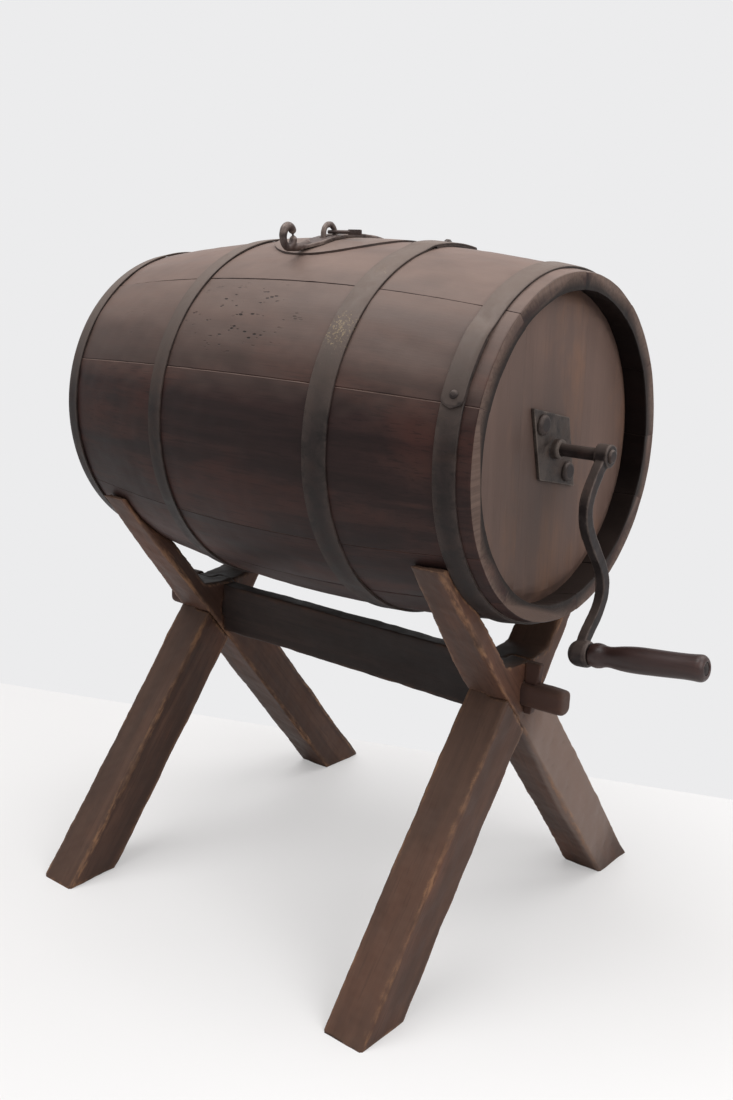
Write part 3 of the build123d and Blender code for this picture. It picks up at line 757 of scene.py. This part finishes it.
# Painted light: a pale patch on the back crank leg's +X face, where light from the right falls.
LIT_FACE_PATCH = [((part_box("leg_crank_back")[1].x, 0.13, 0.17), (0.012, 0.14, 0.16), 1.0)]


def shade_and_stain(name, made):
    """How dark each point is at least: painted shade between the crossed legs, and a stain about the shaft
    on a head.
    """
    at = points_of(made.data)
    if name.startswith("leg_"):
        facing_up = ((normals_of(made.data)[:, 2] - 0.2) / 0.3).clip(0, 1)
        return marks_at(at, SHADED_CROTCHES) * facing_up
    if name.startswith("head_crank"):
        return marks_at(at, HUB_STAIN)
    return 0.0


slot_of = {s["node"]: s["material_slot"] for s in frame["record"]["subparts"]}
for seed, name in enumerate(sorted(nodes)):
    if name.startswith("stave") or name in HOOPS:
        continue
    even = True
    if name.startswith(("leg_", "rail")):
        made = timber(name, 2.2 * MM, 1, *ROUGH_WOOD)
    elif name.startswith("wedge_"):
        made = timber(name, 1.1 * MM, 1, (0.025, 0.2 * MM))
    elif name in ("hasp", "crank", "lid_staple"):
        made = timber(name, 0.9 * MM, 2, *ROUGH_IRON)
    elif name in ("bearing_plate", "plate_bolts", "shaft"):
        made = timber(name, 0.8 * MM, 1, (0.02, 0.06 * MM))
    elif name == "grip":
        made = timber(name, 1.1 * MM, 3, (0.03, 0.12 * MM))
    else:
        even = False
        made = head_board(name, 12 * MM) if name.startswith("head_") else plain(name)
    if name.startswith("wedge_"):
        spots = [(middle(name), (1, 1, 1), 1.0)]
    else:
        spots = {"rail": TENONS, "leg_crank_back": LIT_FACE_PATCH}.get(name, ())
    darkening = shade_and_stain(name, made)
    finish_piece(made, name, SLOTS[slot_of[name]], grain_for(name), 300 + seed, even, spots, darkening)


# Camera: fitted to the photograph
FOCAL = 1212.518
PICTURE_H = 1100
YAW = 0.691
PITCH = 0.254
ROLL = 0.019
CAMERA_FROM_STAND = Vector((0.896947, -1.049956, 0.76734))
ahead = Vector((-sin(YAW) * cos(PITCH), cos(YAW) * cos(PITCH), -sin(PITCH)))
level = Vector((cos(YAW), sin(YAW), 0))
over = level.cross(ahead)
right = cos(ROLL) * level + sin(ROLL) * over
above = cos(ROLL) * over - sin(ROLL) * level
camera = bpy.data.objects.new("camera", bpy.data.cameras.new("camera"))
bpy.context.scene.collection.objects.link(camera)
camera.matrix_world = Matrix.Translation(CAMERA_FROM_STAND + Vector((STAND_X, 0, 0))) @ Matrix(
    (right, above, -ahead)
).transposed().to_4x4()
camera.data.sensor_width = 36
camera.data.lens = 36 * FOCAL / PICTURE_H
camera.data.clip_end = 50
bpy.context.scene.camera = camera


# Stage: a pale table whose far edge is seen behind the churn, in front of a pale wall
def flat_piece(name, corners, colour, shine, plain):
    """A flat of one colour; plain is how far the camera sees that colour and not its shadows."""
    mesh = bpy.data.meshes.new(name)
    mesh.from_pydata(corners, [], [tuple(range(len(corners)))])
    made = new_object(name, mesh)
    material = bpy.data.materials.new(name)
    material.use_nodes = True
    shader = material.node_tree.nodes["Principled BSDF"]
    shader.inputs["Base Color"].default_value = linear(colour)
    shader.inputs["Roughness"].default_value = shine
    tree = material.node_tree
    glow = tree.nodes.new("ShaderNodeEmission")
    glow.inputs["Color"].default_value = linear(colour)
    path = tree.nodes.new("ShaderNodeLightPath")
    share = tree.nodes.new("ShaderNodeMath")
    share.operation = "MULTIPLY"
    share.inputs[1].default_value = plain
    blend = tree.nodes.new("ShaderNodeMixShader")
    tree.links.new(path.outputs["Is Camera Ray"], share.inputs[0])
    tree.links.new(share.outputs[0], blend.inputs[0])
    tree.links.new(shader.outputs[0], blend.inputs[1])
    tree.links.new(glow.outputs[0], blend.inputs[2])
    tree.links.new(blend.outputs[0], tree.nodes["Material Output"].inputs["Surface"])
    mesh.materials.append(material)


TABLE = 6.0
EDGE_LEFT = Vector((STAND_X - 0.858, 0.075, 0))
EDGE_RIGHT = Vector((STAND_X + 0.295, 0.505, 0))
along_edge = (EDGE_RIGHT - EDGE_LEFT).normalized() * TABLE
nearer = Vector((along_edge.y, -along_edge.x, 0))
flat_piece(
    "table",
    [EDGE_LEFT - along_edge, EDGE_LEFT - along_edge + nearer, EDGE_RIGHT + along_edge + nearer,
     EDGE_RIGHT + along_edge],
    (229, 228, 228), 0.6, 0.4,
)


def lamp(name, place, aim, size, power):
    made = bpy.data.objects.new(name, bpy.data.lights.new(name, "AREA"))
    made.data.shape = "DISK"
    made.data.size = size
    made.data.energy = power
    made.location = place
    made.rotation_euler = (Vector(aim) - Vector(place)).to_track_quat("-Z", "Y").to_euler()
    bpy.context.scene.collection.objects.link(made)


lamp("key", (-0.6, -0.5, 2.7), (0, 0, 0.4), 2.2, 54)
lamp("back", (0.9, 1.3, 2.6), (0, 0, 0.5), 2.2, 30)
lamp("side", (2.1, -0.4, 1.7), (0.1, 0, 0.4), 1.8, 32)


def sky(wall, fill, strength):
    """The pale wall for what the camera sees and for reflections, and plain fill light otherwise."""
    world = bpy.data.worlds.new("world")
    bpy.context.scene.world = world
    world.use_nodes = True
    tree = world.node_tree
    light = tree.nodes["Background"]
    light.inputs["Color"].default_value = fill
    light.inputs["Strength"].default_value = strength
    seen = tree.nodes.new("ShaderNodeBackground")
    seen.inputs["Color"].default_value = linear(wall)
    path = tree.nodes.new("ShaderNodeLightPath")
    either = path.outputs["Is Camera Ray"]
    for name in ("Is Glossy Ray", "Is Transmission Ray"):
        most = tree.nodes.new("ShaderNodeMath")
        most.operation = "MAXIMUM"
        tree.links.new(either, most.inputs[0])
        tree.links.new(path.outputs[name], most.inputs[1])
        either = most.outputs[0]
    mix = tree.nodes.new("ShaderNodeMixShader")
    tree.links.new(either, mix.inputs[0])
    tree.links.new(light.outputs[0], mix.inputs[1])
    tree.links.new(seen.outputs[0], mix.inputs[2])
    tree.links.new(mix.outputs[0], tree.nodes["World Output"].inputs["Surface"])


sky((236, 236, 237), (1, 0.98, 0.96, 1), 0.48)
bpy.context.scene.view_settings.view_transform = "Standard"
